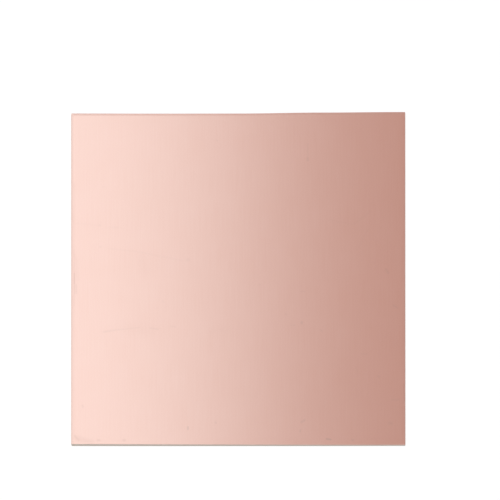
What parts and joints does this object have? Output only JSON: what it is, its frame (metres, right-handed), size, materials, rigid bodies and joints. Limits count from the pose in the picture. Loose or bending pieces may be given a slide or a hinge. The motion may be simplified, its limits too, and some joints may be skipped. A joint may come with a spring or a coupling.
{
  "type": "copper clad board",
  "caption": "Square rigid glass-epoxy board with bare copper foil on both faces and guillotined edges, for making printed circuits.",
  "frame": {"origin": "middle of the board's extent at the underside of the lower foil", "axes": "+Z out of the upper face, +X to the right and -Y to the front in the picture"},
  "size_m": [0.1, 0.1, 0.0015],
  "materials": {
    "glass_epoxy": "woven glass in undyed epoxy, seen at the sheared edges",
    "copper_foil": null
  },
  "bodies": {
    "root": {"glass_epoxy_core": "glass_epoxy", "copper_foil_top": "copper_foil", "copper_foil_bottom": "copper_foil"}
  },
  "joints": []
}
